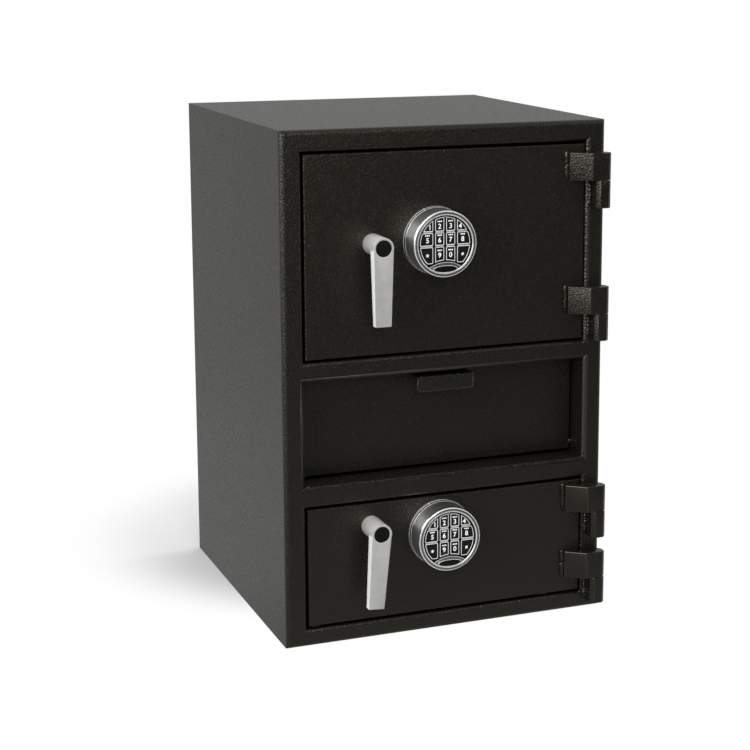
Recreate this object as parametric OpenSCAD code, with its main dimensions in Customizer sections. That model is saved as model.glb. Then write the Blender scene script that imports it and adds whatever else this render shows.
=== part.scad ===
// Hopper deposit safe: a steel cabinet with an upper and a lower door, a hopper
// between them, boltwork on the back of each door and a round keypad lock.
// Millimetres. X is the width, Y the depth (the back is +Y) and Z is up.
// The origin is the middle of the base, where the safe stands on the floor.

/* [Cabinet] */
// Width of the cabinet
body_w = 508; // [480:4:560]
// Depth of the cabinet, from its front face to its back
body_d = 508; // [440:4:600]
// Height of the cabinet
body_h = 762; // [740:2:840]
// Thickness of the side, top, base and back plates
plate_t = 6; // [4:0.5:8]
// Thickness of the front frame
frame_t = 10; // [9:0.5:12]
// Radius of the cabinet's outer front edges
frame_edge_r = 7; // [3:0.5:8]
// Radius of the edges round each opening in the front
opening_edge_r = 5; // [2:0.5:7]

/* [Front openings] */
// Width of the frame on each side of the openings
side_rail = 31; // [28:0.5:34]
// Height of the frame under the lower door
bottom_rail = 26; // [22:1:34]
// Height of the opening for the lower door
lower_opening_h = 186; // [182:1:200]
// Height of the frame between the lower door and the hopper
lower_rail = 32; // [28:1:40]
// Height of the hopper's opening
recess_h = 155; // [150:1:166]
// Height of the frame between the hopper and the upper door
upper_rail = 28; // [26:1:36]
// Height of the frame over the upper door
top_rail = 31; // [24:1:44]

/* [Doors] */
// Thickness of a door plate
door_t = 12.7; // [10:0.1:14]
// How far a door's face lies behind the frame's face
door_inset = 2; // [1:0.5:3]
// Gap between a door and its opening, away from the hinges
door_gap = 4; // [3:0.5:5]
// Gap between a door and its opening, beside the hinges
hinge_side_gap = 2; // [1.5:0.5:5]
// Radius of a door's front edges
door_edge_r = 1.6; // [0.8:0.2:3]

/* [Hinges] */
// Height of each half of a hinge
knuckle_h = 41; // [34:1:44]
// Width of the hinge barrel
knuckle_w = 23.5; // [20:0.5:24]
// How far the hinges stand out of the frame
knuckle_depth = 24.5; // [23.5:0.5:25.5]
// Chamfer on the hinge barrel's front edges
knuckle_chamfer = 5; // [4:0.5:6]
// Diameter of the hinge pins
pin_d = 12; // [9:0.5:12]
// Gap between the two halves of a hinge
hinge_gap = 1; // [0.6:0.1:2]
// Width of each hinge block, from the door to the cabinet's side
hinge_block_w = 60; // [54:1:66]
// From the top of the upper door to the split of its top hinge
upper_top_hinge = 54; // [46:1:70]
// From the bottom of the upper door to the split of its bottom hinge
upper_bottom_hinge = 39.5; // [34:0.5:60]
// From the top of the lower door to the split of its top hinge
lower_top_hinge = 48; // [45:0.5:52]
// From the bottom of the lower door to the split of its bottom hinge
lower_bottom_hinge = 24; // [19:0.5:28]

/* [Handles] */
// Diameter of the handle's hub
hub_d = 30.5; // [28:0.5:36]
// How far the handle stands out of the door
handle_reach = 48; // [42:1:52]
// Distance from the hub's axis to the lever's end
lever_l = 113; // [90:1:118]
// Thickness of the lever at the hub
lever_root_t = 15; // [12:0.5:18]
// Thickness of the lever at its end
lever_end_t = 10.5; // [8:0.5:12]
// Width of the lever at the hub
lever_root_w = 30; // [24:0.5:30]
// Width of the lever at its end
lever_end_w = 24; // [18:0.5:30]
// Diameter of the cap in the hub's face
cap_d = 24.5; // [18:0.5:26]
// Diameter of the spindle
spindle_d = 12; // [10:0.5:14]

/* [Boltwork] */
// Diameter of the locking bolts
bolt_d = 25; // [18:0.5:26]
// Travel of the locking bolts
bolt_throw = 24; // [20:1:25]
// Turn of the handle that throws the bolts, in degrees
handle_turn = 60; // [50:5:70]
// Number of bolts on the upper door
upper_bolts = 3; // [2:1:3]
// Number of bolts on the lower door
lower_bolts = 2; // [2:1:2]
// Diameter of the crank's pin
crank_pin_d = 10; // [7:0.5:11]
// Thickness of the boltwork's sheet housing
housing_t = 3; // [2:0.5:4]

/* [Keypads] */
// Diameter of a keypad
pad_d = 98.5; // [94:0.5:104]
// How far a keypad stands out of the door
pad_reach = 41; // [36:1:46]
// Travel of a key
key_travel = 1; // [0.6:0.1:1.4]
// Gap between a key and its pocket
key_gap = 0.4; // [0.3:0.05:0.5]
// Height of the keys above the keypad's face
key_proud = 0.9; // [0.5:0.1:1.4]

/* [Hopper] */
// How far the hopper's front lies behind the frame's face
recess_depth = 42; // [36:1:48]
// How far the hopper opens, in degrees
hopper_turn = 42; // [30:1:45]
// Thickness of the hopper's front
hopper_front_t = 4; // [3:0.5:5]
// Thickness of the hopper's cheeks and floor
hopper_sheet_t = 3; // [2:0.5:4]
// Diameter of the rod that the hopper turns on
rod_d = 12; // [10:0.5:12]
// Width of the pull tab
tab_w = 89; // [70:1:120]
// Height of the pull tab's lip
tab_h = 23; // [18:0.5:28]

/* [Base] */
// Diameter of the floor anchor holes
anchor_d = 14; // [10:0.5:18]
// Distance between the anchor holes, both ways
anchor_pitch = 380; // [330:5:400]

/* [Hidden] */
KEYS = ["1", "2", "3", "4", "5", "6", "7", "8", "star", "9", "0", "hash"];
DOORS = ["upper", "lower"];
DOOR_PIECES = ["door_plate", "hinge_leaves", "boltwork_housing", "lock_body",
    "keypad_bezel", "keypad_insert", "handle_lever", "handle_cap", "spindle_crank",
    "bolt_carriage", "locking_bolts"];

paint = [0.11, 0.11, 0.1];
inner_paint = [0.2, 0.2, 0.19];
steel = [0.62, 0.62, 0.6];
satin = [0.78, 0.78, 0.76];
black = [0.05, 0.05, 0.05];

round_fn = 64;
edge_fn = 32;
over = 1;
front_y = -body_d / 2;
opening_w = body_w - 2 * side_rail;
inner_w = body_w - 2 * plate_t;

// Heights of the three openings, from the base up
lower_open_z = bottom_rail;
recess_z = lower_open_z + lower_opening_h + lower_rail;
recess_top = recess_z + recess_h;
upper_open_z = recess_top + upper_rail;
upper_opening_h = body_h - top_rail - upper_open_z;

// Doors
door_w = opening_w - door_gap - hinge_side_gap;
door_left = door_gap - opening_w / 2;
door_right = door_left + door_w;
door_back = door_inset + door_t;
hub_from_edge = [102.5, 97.5];
hub_over_middle = [16, 55];
pad_from_hub = [[97, 0], [109.5, -22.5]];
lever_lean = [0.5, 4.7];
function door_z0(i) = door_gap + (i == 0 ? upper_open_z : lower_open_z);
function door_z1(i) = (i == 0 ? upper_open_z + upper_opening_h : lower_open_z + lower_opening_h) - door_gap;
function door_mid(i) = (door_z0(i) + door_z1(i)) / 2;
function hub(i) = [door_left + hub_from_edge[i], door_mid(i) + hub_over_middle[i]];
function pad(i) = hub(i) + pad_from_hub[i];
function hinge_splits(i) = i == 0
    ? [door_z1(0) - upper_top_hinge, door_z0(0) + upper_bottom_hinge]
    : [door_z1(1) - lower_top_hinge, door_z0(1) + lower_bottom_hinge];

// Hinges
pin_x = body_w / 2 - knuckle_w / 2;
pin_y = -14;
pin_run = 0.07;
pin_reach = 30;
pin_hole_end = 2;
leaf_flat = 28;
leaf_root = 3;
leaf_foot_in = 6;

// Handles and boltwork
spindle_run = 0.07;
handle_clear = 0.4;
cap_proud = 0.6;
cap_depth = 4;
spindle_seat = 10;
bolt_y = door_back + bolt_d / 2 + 2.8;
bolt_tip = 7;
bolt_run = 0.4;
bolt_guides = 36;
bolt_l = 70;
bolt_end_margin = 42;
bolt_nose = 3;
bar_t = 8;
bar_w = 20;
bar_over = 18;
arm_t = 6;
arm_h = 27;
arm_over = 11;
arm_end = 16;
crank_t = 8;
crank_hub_d = 28;
crank_gap = 2;
crank_r = bolt_throw / (2 * sin(handle_turn / 2));
crank_side = 0.5;
slot_over = 1.2;
bar_y = bolt_y - bar_w / 2;
arm_y = bolt_y + bar_w / 2 - arm_t;
crank_y = arm_y + arm_t + crank_gap;
bar_back = bolt_y + bar_w / 2;
bolt_left = door_left + bolt_tip;
bar_left = bolt_left + bolt_l;
function bolt_count(i) = i == 0 ? upper_bolts : lower_bolts;
function bolt_z(i, n) = door_z0(i) + bolt_end_margin
    + n * (door_z1(i) - door_z0(i) - 2 * bolt_end_margin) / (bolt_count(i) - 1);

// Boltwork housing and the fixed bar on the hinge side
housing_side = 17;
housing_end = 12;
housing_clear = 8;
housing_back = crank_y + crank_t + housing_clear + housing_t;
guide_t = 6;
guide_gap = 12;
dead_bar_t = 10;
dead_bar_y = 30;
dead_bar_end = 16;
dead_bar_short = 20;

// Lock body behind the keypad
lock_w = 61;
lock_h = 85;
lock_d = 27;
lock_below = 16;
lock_port = [6, 20, 14];
lock_edge = 4;

// Keypad, measured outwards from the door's face and about its centre
foot_t = 4;
foot_over = 0.8;
groove_w = 3;
groove_d = 1.5;
shell_t = 4;
rim_w = 7.5;
rim_edge_r = 4;
rim_lip_w = 2;
rim_lip_r = 1;
rim_groove = 0.6;
face_r = pad_d / 2 - rim_w;
face_drop = 3;
face_at = pad_reach - face_drop;
insert_t = 9;
lens_r = 45;
lens_top = 26.6;
lens_proud = 2.2;
oval_half = [19.3, 6.4];
oval_rim = 1.4;
oval_rim_up = 0.6;
oval_sink = 0.3;
oval_at = -36.4;
oval_points = 48;
key_circle_r = face_r - 2.5;
key_lens_gap = 3;
key_t = 4;
key_cols = [-42, -17, 0, 17, 42];
key_rows = [42, 17.8, -2.7, -29];
key_web = 2.2;

// Hopper: the rod's axis is the origin of the hopper's own outlines
rod_back = 12;
rod_up = 12;
rod_at = [recess_depth + rod_back, recess_z + rod_up];
rod_run = 0.07;
liner_t = 3;
liner_behind = 16;
liner_top_over = 8;
ledge_gap = 1.5;
hopper_side_gap = 3;
hopper_low_gap = 4;
hopper_top_gap = 4;
cheek_inset = 3;
cheek_r = recess_h - rod_up - hopper_top_gap - 3;
tray_slope = 20;
tray_l = 92;
tray_up = 8;
bush_d = 20;
bush_l = 44;
tray_tip_r = norm([tray_l, tray_up + hopper_sheet_t]);
tray_tip_angle = atan2(tray_up, tray_l) - tray_slope;
baffle_gap = 3.5;
baffle_t = 3;
baffle_top_angle = 62;
baffle_side_gap = 4;
shelf_t = 4;
shelf_under = 12;
floor_drop = 22;
floor_l = 130;
floor_lip = 16;
tab_t = 3;
tab_top_gap = 8.5;
tab_front = 9;
tab_r = 4.8;
hopper_w = opening_w - 2 * hopper_side_gap;
shelf_z = upper_open_z - shelf_under;
floor_z = recess_z - floor_drop;

// Moves to the front face of the frame: Y then runs into the safe
module from_front() {
    translate([0, front_y, 0])
        children();
}

// Draws a front view outline and gives it depth, from y0 towards the front
module outwards(at, y0, depth) {
    translate([at[0], y0, at[1]])
        rotate([90, 0, 0])
            linear_extrude(height = depth)
                children();
}

// Draws a side view outline, with its own x as Y, across the width w
module across(w) {
    rotate([90, 0, 90])
        translate([0, 0, -w / 2])
            linear_extrude(height = w)
                children();
}

// The waste of a convex edge of radius r, along Z, with its corner at the origin
// and the solid on the side of +X and +Y
module edge_waste(r, l) {
    difference() {
        translate([-over, -over, 0])
            cube([r + over, r + over, l]);
        translate([r, r, -over])
            cylinder(r = r, h = l + 2 * over, $fn = round_fn);
    }
}

// A plate w wide, h high and t deep, with its front edges rounded
module round_plate(w, h, t, r) {
    difference() {
        translate([-w / 2, 0, 0])
            cube([w, t, h]);
        for (side = [0, 1])
            mirror([side, 0, 0])
                translate([-w / 2, 0, -over])
                    edge_waste(r, h + 2 * over);
        for (end = [0, 1])
            translate([0, 0, end * h])
                mirror([0, 0, end])
                    translate([w / 2 + over, 0, 0])
                        rotate([0, -90, 0])
                            edge_waste(r, w + 2 * over);
    }
}

// The waste of one opening, w by h: the hole and its rolled front edges, which
// meet at 45 degrees in the corners
module opening_waste(w, h, r) {
    cut = frame_t + 2 * over;
    translate([-w / 2, -over, 0])
        cube([w, cut, h]);
    for (side = [0, 1])
        mirror([side, 0, 0])
            intersection() {
                translate([-w / 2 - r, 0, -r])
                    edge_waste_in(r, h + 2 * r);
                translate([-w / 2, 0, h / 2])
                    rotate([90, 0, 0])
                        linear_extrude(height = 2 * (r + over), center = true)
                            polygon([[over, h / 2 - over], [over, over - h / 2],
                                [0, -h / 2], [-r, -h / 2 - r], [-r, h / 2 + r], [0, h / 2]]);
            }
    for (end = [0, 1])
        translate([0, 0, end * h])
            mirror([0, 0, end])
                intersection() {
                    translate([w / 2 + r, 0, -r])
                        rotate([0, -90, 0])
                            edge_waste_in(r, w + 2 * r);
                    rotate([90, 0, 0])
                        linear_extrude(height = 2 * (r + over), center = true)
                            polygon([[over - w / 2, over], [w / 2 - over, over],
                                [w / 2, 0], [w / 2 + r, -r], [-w / 2 - r, -r], [-w / 2, 0]]);
                }
}

// The waste of an inner edge along Z: the solid is on the side of -X and +Y
module edge_waste_in(r, l) {
    difference() {
        translate([0, -over, 0])
            cube([r + over, r + over, l]);
        translate([0, r, -over])
            cylinder(r = r, h = l + 2 * over, $fn = round_fn);
    }
}

module side_panel(side) {
    color(paint)
        translate([side > 0 ? body_w / 2 - plate_t : -body_w / 2, front_y + frame_t, plate_t])
            cube([plate_t, body_d - frame_t, body_h - 2 * plate_t]);
}

module top_panel() {
    color(paint)
        translate([-body_w / 2, front_y + frame_t, body_h - plate_t])
            cube([body_w, body_d - frame_t, plate_t]);
}

module base_panel() {
    color(paint)
        difference() {
            translate([-body_w / 2, front_y + frame_t, 0])
                cube([body_w, body_d - frame_t, plate_t]);
            for (x = [-1, 1])
                for (y = [-1, 1])
                    translate([x * anchor_pitch / 2, y * anchor_pitch / 2, -over])
                        cylinder(d = anchor_d, h = plate_t + 2 * over, $fn = round_fn);
        }
}

module back_panel() {
    color(paint)
        translate([-inner_w / 2, body_d / 2 - plate_t, plate_t])
            cube([inner_w, plate_t, body_h - 2 * plate_t]);
}

// The front frame with its three openings, and the liner of the hopper's recess,
// whose side walls carry the hopper's rod
module front_frame() {
    wall_w = opening_w / 2 + liner_t;
    wall_l = rod_at[0] + liner_behind - frame_t;
    color(paint)
        from_front() {
            difference() {
                round_plate(body_w, body_h, frame_t, frame_edge_r);
                translate([0, 0, upper_open_z])
                    opening_waste(opening_w, upper_opening_h, opening_edge_r);
                translate([0, 0, recess_z])
                    opening_waste(opening_w, recess_h, opening_edge_r);
                translate([0, 0, lower_open_z])
                    opening_waste(opening_w, lower_opening_h, opening_edge_r);
            }
            difference() {
                for (side = [0, 1])
                    mirror([side, 0, 0])
                        translate([opening_w / 2, frame_t, recess_z - liner_t])
                            cube([liner_t, wall_l, recess_h + 2 * liner_t]);
                translate([0, rod_at[0], rod_at[1]])
                    rotate([0, 90, 0])
                        cylinder(d = rod_d, h = 2 * wall_w + 2 * over, center = true, $fn = round_fn);
            }
            translate([-opening_w / 2, frame_t, recess_top])
                cube([opening_w, recess_depth + liner_top_over - frame_t, liner_t]);
            translate([-opening_w / 2, frame_t, recess_z - liner_t])
                cube([opening_w, recess_depth - ledge_gap - frame_t, liner_t]);
        }
}

module upper_shelf() {
    color(inner_paint)
        translate([-inner_w / 2, front_y + frame_t, shelf_z - shelf_t])
            cube([inner_w, body_d - frame_t - plate_t, shelf_t]);
}

// The plate under the hopper, bent down at its back edge, over which deposits fall
module hopper_floor() {
    color(inner_paint)
        from_front()
            translate([-inner_w / 2, frame_t, floor_z - shelf_t]) {
                cube([inner_w, floor_l, shelf_t]);
                translate([0, floor_l - shelf_t, -floor_lip])
                    cube([inner_w, shelf_t, floor_lip + over]);
            }
}

// The plate that stops anyone reaching past the open hopper: a curve round the
// hopper's rod, just outside the sweep of its tray, hung from the shelf
module deposit_baffle() {
    r0 = tray_tip_r + baffle_gap;
    r1 = r0 + baffle_t;
    low = tray_tip_angle + hopper_turn - 1;
    top = shelf_z - shelf_t - rod_at[1];
    far = 2 * r1;
    hang = r0 * cos(baffle_top_angle);
    color(inner_paint)
        from_front()
            translate([0, rod_at[0], rod_at[1]])
                across(hopper_w - 2 * (cheek_inset + hopper_sheet_t + baffle_side_gap)) {
                    intersection() {
                        difference() {
                            circle(r = r1, $fn = round_fn);
                            circle(r = r0, $fn = round_fn);
                        }
                        polygon([[0, 0], far * [cos(low), sin(low)],
                            far * [cos(baffle_top_angle), sin(baffle_top_angle)]]);
                    }
                    translate([hang, r0 * sin(baffle_top_angle)])
                        square([baffle_t, top - r0 * sin(baffle_top_angle)]);
                }
}

module knuckle_outline() {
    half = knuckle_w / 2;
    polygon([[-half, 0], [-half, knuckle_chamfer - knuckle_depth],
        [knuckle_chamfer - half, -knuckle_depth], [half - knuckle_chamfer, -knuckle_depth],
        [half, knuckle_chamfer - knuckle_depth], [half, 0]]);
}

// The half of each hinge that is welded to the frame, under the door's half
module hinge_knuckles() {
    color(paint)
        from_front()
            for (i = [0, 1])
                for (z = hinge_splits(i))
                    translate([pin_x, 0, z - hinge_gap / 2 - knuckle_h])
                        difference() {
                            linear_extrude(height = knuckle_h)
                                knuckle_outline();
                            translate([0, pin_y, pin_hole_end])
                                cylinder(d = pin_d, h = knuckle_h, $fn = round_fn);
                        }
}

module hinge_pins() {
    color(steel)
        from_front()
            for (i = [0, 1])
                for (z = hinge_splits(i))
                    translate([pin_x, pin_y, z - hinge_gap / 2 - knuckle_h + pin_hole_end])
                        cylinder(d = pin_d, h = knuckle_h - pin_hole_end + hinge_gap + pin_reach,
                            $fn = round_fn);
}

// The door's half of a hinge seen from above: a wedge that rises from the door's
// face to a barrel, which is rounded at the back where it turns past the frame
module leaf_outline() {
    half = knuckle_w / 2;
    left = body_w / 2 - hinge_block_w - pin_x;
    foot = door_right - leaf_foot_in - pin_x;
    flat_start = left + leaf_flat;
    face = door_inset - pin_y;
    front = -knuckle_depth - pin_y;
    root = -leaf_root - pin_y;
    polygon([[left, face], [left, root], [flat_start, front],
        [half - knuckle_chamfer, front], [half, front + knuckle_chamfer], [half, 0],
        [0, 0], [0, half], [foot, half], [foot, face]]);
    intersection() {
        circle(r = half, $fn = round_fn);
        square([half, half]);
    }
}

module hinge_leaves(i) {
    color(paint)
        from_front()
            for (z = hinge_splits(i))
                translate([pin_x, pin_y, z + hinge_gap / 2])
                    difference() {
                        linear_extrude(height = knuckle_h)
                            leaf_outline();
                        translate([0, 0, -over])
                            cylinder(d = pin_d + 2 * pin_run, h = pin_reach + pin_hole_end + over,
                                $fn = round_fn);
                    }
}

module door_plate(i) {
    color(paint)
        from_front()
            difference() {
                translate([door_left + door_w / 2, door_inset, door_z0(i)])
                    round_plate(door_w, door_z1(i) - door_z0(i), door_t, door_edge_r);
                outwards(hub(i), door_back + over, door_t + 2 * over)
                    circle(d = spindle_d + 2 * spindle_run, $fn = round_fn);
            }
}

// The sheet housing on the back of a door. Its end wall and an inner guide have
// the bolts' holes, and a fixed bar on the hinge side locks behind the frame.
module boltwork_housing(i) {
    left = door_left + housing_side;
    w = door_w - 2 * housing_side;
    z0 = door_z0(i) + housing_end;
    h = door_z1(i) - door_z0(i) - 2 * housing_end;
    d = housing_back - door_back;
    color(steel)
        from_front() {
            difference() {
                union() {
                    difference() {
                        translate([left, door_back, z0])
                            cube([w, d, h]);
                        translate([left + housing_t, door_back - over, z0 + housing_t])
                            cube([w - 2 * housing_t, d - housing_t + over, h - 2 * housing_t]);
                    }
                    translate([left + housing_t + guide_gap, door_back, z0 + housing_t - over])
                        cube([guide_t, d - over, h - 2 * housing_t + 2 * over]);
                }
                for (n = [0:bolt_count(i) - 1])
                    translate([left - over, bolt_y, bolt_z(i, n)])
                        rotate([0, 90, 0])
                            cylinder(d = bolt_d + 2 * bolt_run, h = bolt_guides, $fn = round_fn);
            }
            translate([left + w - over, dead_bar_y, door_z0(i) + dead_bar_short])
                cube([housing_side + dead_bar_end + over, dead_bar_t,
                    door_z1(i) - door_z0(i) - 2 * dead_bar_short]);
        }
}

// The electronic lock's case behind the keypad, with its bolt drawn in
module lock_body(i) {
    at = pad(i) - [0, lock_below];
    color(satin)
        from_front()
            difference() {
                outwards(at, door_back + lock_d, lock_d)
                    difference() {
                        square([lock_w, lock_h], center = true);
                        for (x = [-1, 1])
                            for (z = [-1, 1])
                                translate([x * lock_w / 2, z * lock_h / 2])
                                    rotate(45)
                                        square(lock_edge, center = true);
                    }
                translate([at[0] - lock_w / 2 - over, door_back + lock_d / 2 - lock_port[2] / 2,
                    at[1] - lock_port[1] / 2])
                    cube([lock_port[0] + over, lock_port[2], lock_port[1]]);
            }
}

// Section of the keypad's case, with its radius as x and its height off the door as y
module bezel_section() {
    r = pad_d / 2;
    face = face_at - insert_t;
    difference() {
        union() {
            square([r + foot_over, foot_t]);
            square([r - groove_d, foot_t + groove_w]);
            translate([0, foot_t + groove_w])
                square([r, pad_reach - rim_edge_r - foot_t - groove_w]);
            square([r - rim_edge_r, pad_reach]);
            translate([r - rim_edge_r, pad_reach - rim_edge_r])
                circle(r = rim_edge_r, $fn = edge_fn);
        }
        translate([face_r + rim_lip_w, pad_reach - rim_groove])
            square([rim_groove, 2 * rim_groove]);
        translate([face_r, pad_reach])
            difference() {
                translate([-over, -rim_lip_r])
                    square([rim_lip_r + over, rim_lip_r + over]);
                translate([rim_lip_r, -rim_lip_r])
                    circle(r = rim_lip_r, $fn = edge_fn);
            }
        translate([0, face])
            square([face_r, pad_reach]);
        translate([0, -over])
            square([r - shell_t - groove_d, face - shell_t + over]);
        translate([0, face - shell_t - over])
            square([face_r - shell_t, 2 * shell_t]);
    }
}

function ellipse_points(half) = [for (n = [0:oval_points - 1])
    [half[0] * cos(n * 360 / oval_points), half[1] * sin(n * 360 / oval_points)]];

module lens(extra) {
    translate([0, -lens_top - lens_r])
        circle(r = lens_r + extra, $fn = 2 * round_fn);
}

// The keypad's case: foot, groove, rounded crest, and the bare oval plate's mount
// in the lens-shaped field at the bottom of the face
module keypad_bezel(i) {
    inner = oval_half - [oval_rim, oval_rim];
    color(satin)
        from_front() {
            translate([pad(i)[0], door_inset, pad(i)[1]])
                rotate([90, 0, 0])
                    rotate_extrude($fn = 2 * round_fn)
                        bezel_section();
            difference() {
                union() {
                    outwards(pad(i), door_inset - face_at + insert_t, insert_t + lens_proud)
                        intersection() {
                            circle(r = face_r, $fn = 2 * round_fn);
                            lens(0);
                        }
                    outwards(pad(i) + [0, oval_at], door_inset - face_at, lens_proud + oval_rim_up)
                        intersection() {
                            polygon(ellipse_points(oval_half));
                            translate([0, -oval_at])
                                circle(r = face_r, $fn = 2 * round_fn);
                        }
                }
                outwards(pad(i) + [0, oval_at], door_inset - face_at - lens_proud + oval_sink,
                    oval_sink + oval_rim_up + over)
                    polygon(ellipse_points(inner));
            }
        }
}

// One key in the front view: a cell of the grid, inside the round field and above
// the lens. spread widens it for its pocket.
module key_outline(k, spread) {
    col = k % 4;
    row = floor(k / 4);
    half_web = key_web / 2 - spread;
    x0 = key_cols[col] + half_web;
    x1 = key_cols[col + 1] - half_web;
    z0 = key_rows[row + 1] + half_web;
    z1 = key_rows[row] - half_web;
    difference() {
        intersection() {
            translate([x0, z0])
                square([x1 - x0, z1 - z0]);
            circle(r = key_circle_r + spread, $fn = 2 * round_fn);
        }
        lens(key_lens_gap - spread);
    }
}

module keypad_insert(i) {
    color(black)
        from_front()
            difference() {
                outwards(pad(i), door_inset - face_at + insert_t, insert_t)
                    difference() {
                        circle(r = face_r, $fn = 2 * round_fn);
                        lens(0);
                    }
                for (k = [0:len(KEYS) - 1])
                    outwards(pad(i), door_inset - face_at + key_t - key_proud + key_travel + key_gap,
                        key_t + key_travel + key_gap + over)
                        key_outline(k, key_gap);
            }
}

module keypad_key(i, k) {
    color(black)
        from_front()
            outwards(pad(i), door_inset - face_at + key_t - key_proud, key_t)
                key_outline(k, 0);
}

// The lever's blade, hanging from the origin with its front face at y = 0: it gets
// narrower and thinner towards its end
module lever_blade() {
    root = lever_root_w / 2;
    end = lever_end_w / 2;
    intersection() {
        outwards([0, 0], lever_root_t + over, lever_root_t + over)
            polygon([[-root, 0], [-end, -lever_l], [end, -lever_l], [root, 0]]);
        across(2 * lever_root_w)
            polygon([[-over, over], [lever_root_t, over], [lever_root_t, 0],
                [lever_end_t, -lever_l], [lever_end_t, -lever_l - over], [-over, -lever_l - over]]);
    }
}

// The lever hangs from the hub, a little to the left
module handle_lever(i) {
    back = door_inset - handle_clear;
    reach = handle_reach - handle_clear;
    color(satin)
        from_front()
            difference() {
                union() {
                    outwards(hub(i), back, reach)
                        circle(d = hub_d, $fn = round_fn);
                    translate([hub(i)[0], back - reach, hub(i)[1]])
                        rotate([0, lever_lean[i], 0])
                            lever_blade();
                }
                outwards(hub(i), back - reach + cap_depth, cap_depth + over)
                    circle(d = cap_d, $fn = round_fn);
                outwards(hub(i), back + over, spindle_seat + over)
                    circle(d = spindle_d, $fn = round_fn);
            }
}

module handle_cap(i) {
    back = door_inset - handle_reach + cap_depth;
    color(black)
        from_front()
            outwards(hub(i), back, cap_depth - cap_proud)
                circle(d = cap_d, $fn = round_fn);
}

// The spindle through the door, with the crank that pushes the bolt carriage
module spindle_crank(i) {
    start = handle_turn / 2;
    pin = crank_r * [sin(start), -cos(start)];
    back = crank_y + crank_t;
    color(steel)
        from_front() {
            outwards(hub(i), back, back - door_inset + handle_clear + spindle_seat)
                circle(d = spindle_d, $fn = round_fn);
            outwards(hub(i), back, crank_t) {
                circle(d = crank_hub_d, $fn = round_fn);
                rotate(start)
                    translate([-crank_pin_d / 2 - 2 * crank_side, -crank_r])
                        square([crank_pin_d + 4 * crank_side, crank_r]);
                translate(pin)
                    circle(d = crank_pin_d + 4 * crank_side, $fn = round_fn);
            }
            outwards(hub(i) + pin, back, crank_t + crank_gap + arm_t + crank_side)
                circle(d = crank_pin_d, $fn = round_fn);
        }
}

// The bar behind the bolts and its arm, whose slot follows the crank's pin
module bolt_carriage(i) {
    start = handle_turn / 2;
    pin = crank_r * [sin(start), -cos(start)];
    z0 = bolt_z(i, 0) - bar_over;
    z1 = bolt_z(i, bolt_count(i) - 1) + bar_over;
    arm_top = hub(i)[1] - arm_over;
    arm_right = hub(i)[0] + pin[0] + arm_end;
    slot_w = crank_pin_d + 2 * crank_side;
    slot_low = -crank_r - crank_pin_d / 2 - slot_over;
    slot_top = pin[1] + crank_pin_d / 2 + slot_over;
    color(steel)
        from_front() {
            translate([bar_left, bar_y, z0])
                cube([bar_t, bar_w, z1 - z0]);
            difference() {
                translate([bar_left + bar_t - over, arm_y, arm_top - arm_h])
                    cube([arm_right - bar_left - bar_t + over, arm_t, arm_h]);
                translate([hub(i)[0] + pin[0] - slot_w / 2, arm_y - over, hub(i)[1] + slot_low])
                    cube([slot_w, arm_t + 2 * over, slot_top - slot_low]);
            }
        }
}

// Round bolts with chamfered noses, drawn back so that the door can open
module locking_bolts(i) {
    color(satin)
        from_front()
            for (n = [0:bolt_count(i) - 1])
                translate([bolt_left, bolt_y, bolt_z(i, n)])
                    rotate([0, 90, 0]) {
                        cylinder(d1 = bolt_d - 2 * bolt_nose, d2 = bolt_d, h = bolt_nose, $fn = round_fn);
                        translate([0, 0, bolt_nose])
                            cylinder(d = bolt_d, h = bolt_l - bolt_nose, $fn = round_fn);
                    }
}

// The hopper: its front, two cheeks, the sloping tray that deposits slide off, and
// the bushes that turn on the rod
module hopper_bucket() {
    front_h = recess_h - hopper_low_gap - hopper_top_gap;
    cheek_x = hopper_w / 2 - cheek_inset - hopper_sheet_t;
    edge_angle = 90 - hopper_turn;
    tip = tray_l * [cos(tray_slope), -sin(tray_slope)];
    color(paint)
        from_front() {
            translate([-hopper_w / 2, recess_depth, recess_z + hopper_low_gap])
                cube([hopper_w, hopper_front_t, front_h]);
            translate([0, rod_at[0], rod_at[1]])
                difference() {
                    union() {
                        for (side = [-1, 1])
                            translate([side * (cheek_x + hopper_sheet_t / 2), 0, 0])
                                across(hopper_sheet_t)
                                    intersection() {
                                        circle(r = cheek_r, $fn = 2 * round_fn);
                                        polygon([[1 - rod_back + hopper_front_t - over, -bush_d / 2],
                                            [1 - rod_back + hopper_front_t - over, recess_h],
                                            recess_h * [cos(edge_angle) / sin(edge_angle), 1],
                                            cheek_r * [cos(edge_angle), sin(edge_angle)],
                                            tip, [0, -bush_d / 2]]);
                                    }
                        across(2 * cheek_x + over)
                            rotate(-tray_slope)
                                translate([-rod_back + hopper_front_t, tray_up])
                                    square([tray_l + rod_back - hopper_front_t, hopper_sheet_t]);
                        for (side = [-1, 1])
                            translate([side * (cheek_x - bush_l / 2), 0, 0])
                                rotate([0, 90, 0])
                                    cylinder(d = bush_d, h = bush_l + over, center = true, $fn = round_fn);
                    }
                    rotate([0, 90, 0])
                        cylinder(d = rod_d + 2 * rod_run, h = opening_w, center = true, $fn = round_fn);
                }
        }
}

// The angle welded across the top of the hopper's front: fingers go behind its lip
module hopper_pull_tab() {
    top = recess_top - tab_top_gap;
    color(paint)
        from_front() {
            translate([-tab_w / 2, tab_front, top - tab_t])
                cube([tab_w, recess_depth - tab_front, tab_t]);
            outwards([0, top], tab_front + tab_t, tab_t) {
                translate([-tab_w / 2, tab_r - tab_h])
                    square([tab_w, tab_h - tab_r]);
                translate([tab_r - tab_w / 2, -tab_h])
                    square([tab_w - 2 * tab_r, tab_h]);
                for (side = [-1, 1])
                    translate([side * (tab_w / 2 - tab_r), tab_r - tab_h])
                        circle(r = tab_r, $fn = edge_fn);
            }
        }
}

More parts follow.
